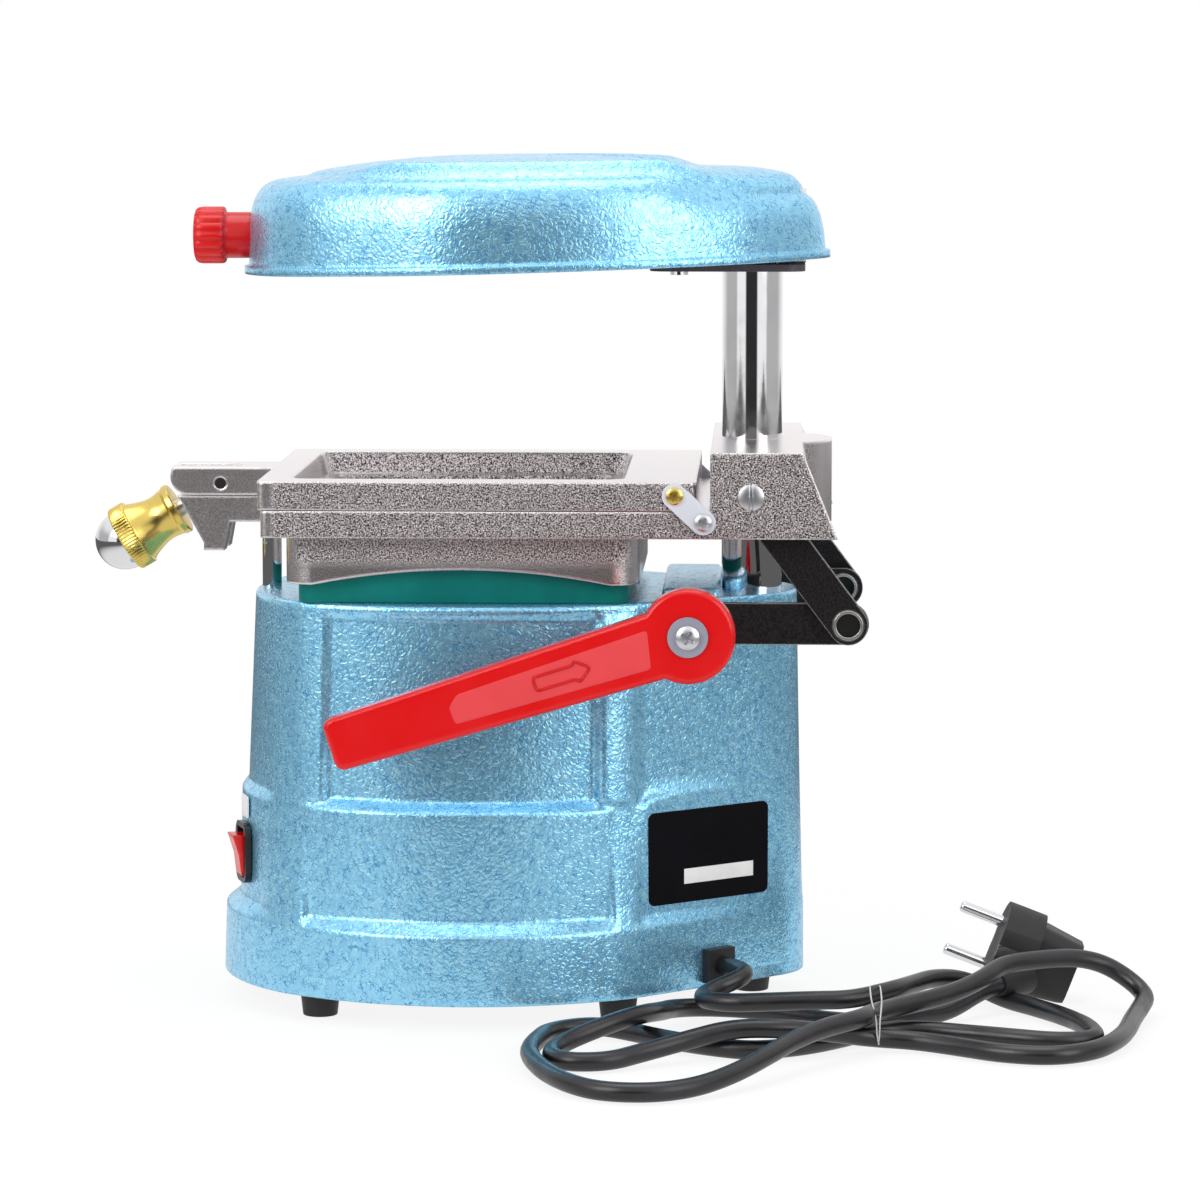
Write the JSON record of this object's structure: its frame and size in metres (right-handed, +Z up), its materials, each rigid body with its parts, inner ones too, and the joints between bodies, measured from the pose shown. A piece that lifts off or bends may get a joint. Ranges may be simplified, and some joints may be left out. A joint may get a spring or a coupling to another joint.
{
  "type": "dental vacuum former",
  "caption": "Dental vacuum former: cast motor base with a perforated vacuum plate, clamping frames raised by a side lever, and a heater head that swivels on a chrome column.",
  "frame": {"origin": "on the table under the middle of the machine without its cord", "axes": "+X from the clamp nut to the linkage (rear), +Y from the lever side to the far side, +Z up"},
  "size_m": [0.438, 0.3273, 0.3493],
  "materials": {
    "blue_hammertone": "light blue hammertone stove enamel on cast aluminium",
    "plated_casting": "nickel-plated casting with a fine speckle",
    "chrome": "bright chrome plate",
    "zinc_steel": "zinc-plated steel",
    "black_steel": "black oxide steel",
    "brass": "turned brass",
    "bronze": "sintered bronze",
    "red_plastic": "glossy red moulding",
    "green_silicone": "dark green silicone rubber",
    "black_rubber": "black rubber",
    "black_plastic": "black moulded plastic",
    "black_plate": "black anodised plate with a blank white field",
    "white_label": "blank white label",
    "motor_steel": "grey painted motor can",
    "ceramic": "heater ceramic",
    "heater_wire": "oxidised resistance wire",
    "pvc_black": "black PVC flex",
    "tie_white": "plastic-covered twist wire"
  },
  "bodies": {
    "base": {"base_housing": "blue_hammertone", "bottom_cover": "zinc_steel", "feet": "black_rubber", "foot_screws": "zinc_steel", "guide_column": "chrome", "column_nut": "zinc_steel", "seal_pad": "green_silicone", "vacuum_cup": "plated_casting", "vacuum_plate": "plated_casting", "vacuum_motor": "motor_steel", "motor_mounts": "black_rubber", "vacuum_hose": "black_rubber", "switch_cases": "black_plastic", "switch_labels": "white_label", "rating_plate": "black_plate", "cord_gland": "black_rubber", "terminal_block": "white_label", "shaft_bushes": "bronze", "cord_lead": "pvc_black", "cord_hank": "pvc_black", "cord_tie": "tie_white", "plug_body": "black_rubber", "plug_contacts": "chrome"},
    "impeller": {"motor_rotor": "zinc_steel", "fan_impeller": "zinc_steel"},
    "heat_rocker": {"heat_rocker": "red_plastic"},
    "vacuum_rocker": {"vacuum_rocker": "red_plastic"},
    "lift_shaft": {"cross_shaft": "zinc_steel", "near_crank": "black_steel", "far_crank": "black_steel", "crank_pins": "zinc_steel", "lift_lever": "red_plastic", "lever_washer": "zinc_steel", "lever_screw": "zinc_steel"},
    "links": {"near_link": "black_steel", "far_link": "black_steel"},
    "carriage": {"carriage": "plated_casting", "carriage_bushes": "bronze", "front_rod": "chrome", "pivot_screws": "zinc_steel", "side_link_pins": "zinc_steel"},
    "side_links": {"side_links": "zinc_steel"},
    "upper_frame": {"upper_frame": "plated_casting", "frame_screws": "brass", "clamp_pin": "zinc_steel"},
    "swing_bolt": {"swing_bolt": "zinc_steel"},
    "clamp_nut": {"clamp_nut": "brass", "nut_dome": "chrome"},
    "head": {"head_shell": "blue_hammertone", "head_bracket": "black_steel", "swivel_collar": "plated_casting", "head_screws": "chrome", "head_grip": "red_plastic", "reflector": "chrome", "heater_ceramic": "ceramic", "heater_coil": "heater_wire", "heater_bolt": "zinc_steel"}
  },
  "joints": [
    {"name": "lever_lift", "type": "hinge", "parent": "base", "child": "lift_shaft", "pos_m": [0.08852, 0.0119, 0.162], "axis": [0, -1, 0], "range_deg": [-6.5, 56]},
    {"name": "link_swing", "type": "hinge", "parent": "lift_shaft", "child": "links", "pos_m": [0.15202, 0.0119, 0.162], "axis": [0, -1, 0], "range_deg": [-83.42, 9.95]},
    {"name": "carriage_lift", "type": "slide", "parent": "base", "child": "carriage", "axis": [0, 0, 1], "range_m": [-0.00771, 0.0649]},
    {"name": "frame_open", "type": "hinge", "parent": "carriage", "child": "side_links", "pos_m": [0.09402, 0.0119, 0.204], "axis": [0, 1, 0], "range_deg": [0, 10]},
    {"name": "frame_level", "type": "hinge", "parent": "side_links", "child": "upper_frame", "pos_m": [0.08252, 0.0119, 0.2146], "axis": [0, 1, 0], "range_deg": [-0.1, 1.1]},
    {"name": "bolt_swing", "type": "hinge", "parent": "upper_frame", "child": "swing_bolt", "pos_m": [-0.10638, 0.0119, 0.2132], "axis": [0, 1, 0], "range_deg": [-0.5, 60.5]},
    {"name": "nut_spin", "type": "hinge", "parent": "swing_bolt", "child": "clamp_nut", "pos_m": [-0.13209, 0.0119, 0.19775], "axis": [-0.8572, 0, -0.515], "continuous": true},
    {"name": "head_swivel", "type": "hinge", "parent": "base", "child": "head", "pos_m": [0.11302, 0.0119, 0.32], "axis": [0, 0, 1], "range_deg": [-120, 120]},
    {"name": "heat_switch", "type": "hinge", "parent": "base", "child": "heat_rocker", "pos_m": [-0.09524, -0.0181, 0.062], "axis": [0.3085, -0.9512, 0], "range_deg": [-24, 0]},
    {"name": "vacuum_switch", "type": "hinge", "parent": "base", "child": "vacuum_rocker", "pos_m": [-0.09524, 0.0419, 0.062], "axis": [-0.3085, -0.9512, 0], "range_deg": [-24, 0]},
    {"name": "fan_spin", "type": "hinge", "parent": "base", "child": "impeller", "pos_m": [-0.00503, 0.0119, 0.095], "axis": [0, 0, 1], "continuous": true}
  ],
  "couplings": [
    {"joint": "link_swing", "follows": "lever_lift", "ratio": -1.4843},
    {"joint": "carriage_lift", "follows": "lever_lift", "m_per_rad": 0.066202},
    {"joint": "frame_level", "follows": "frame_open", "ratio": 0.1},
    {"joint": "bolt_swing", "follows": "frame_open", "ratio": 6}
  ]
}
